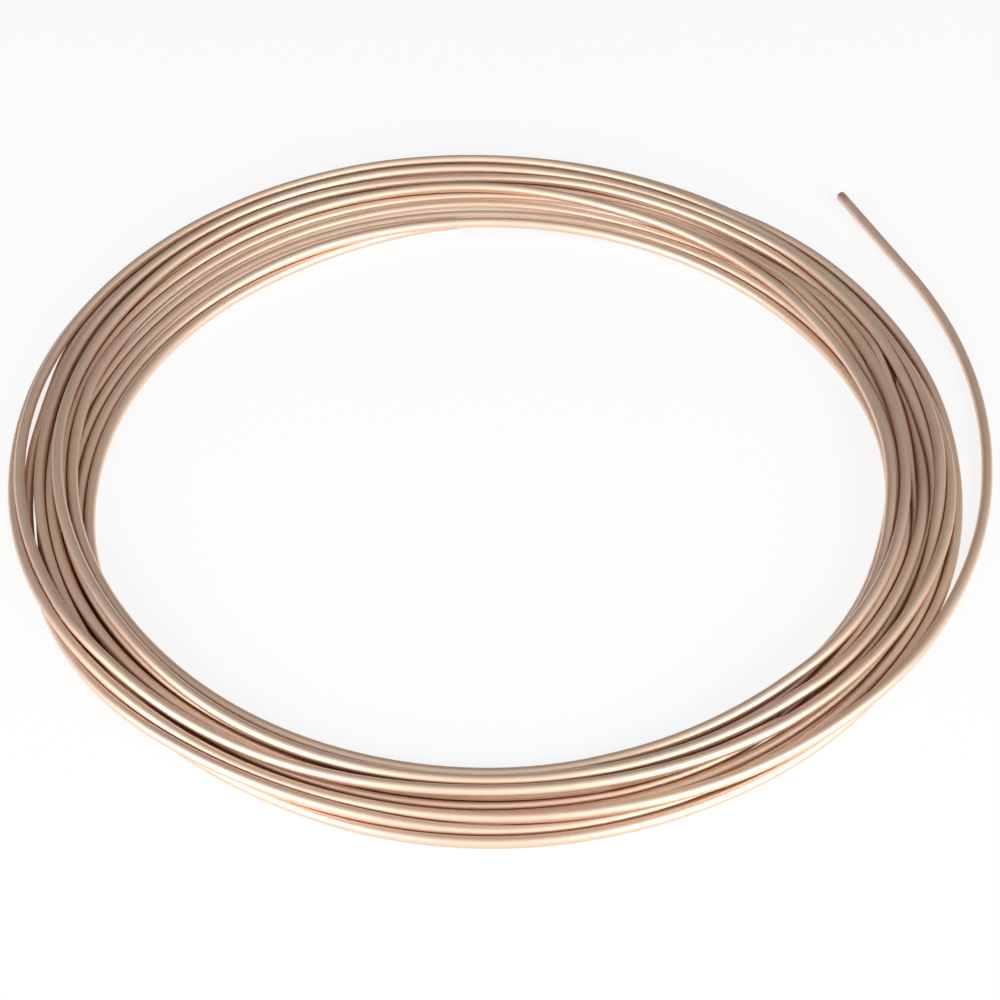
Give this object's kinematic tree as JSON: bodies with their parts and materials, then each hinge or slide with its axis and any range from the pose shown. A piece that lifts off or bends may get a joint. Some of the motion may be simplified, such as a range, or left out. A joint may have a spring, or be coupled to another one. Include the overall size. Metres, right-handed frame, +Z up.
{
  "type": "copper tube coil",
  "caption": "Loose flat coil of thin drawn copper tube lying on its side, with one free end springing away from the outer turns.",
  "frame": {"origin": "on the coil's axis, at the level of the floor that it lies on", "axes": "+Z up along the coil's axis; -Y towards the viewer of the picture; the free end leaves on the +X side and points to +Y"},
  "size_m": [0.425, 0.4126, 0.0113],
  "materials": {
    "drawn_copper": "satin drawn copper"
  },
  "bodies": {
    "root": {"copper_tube_coil": "drawn_copper"}
  },
  "joints": []
}
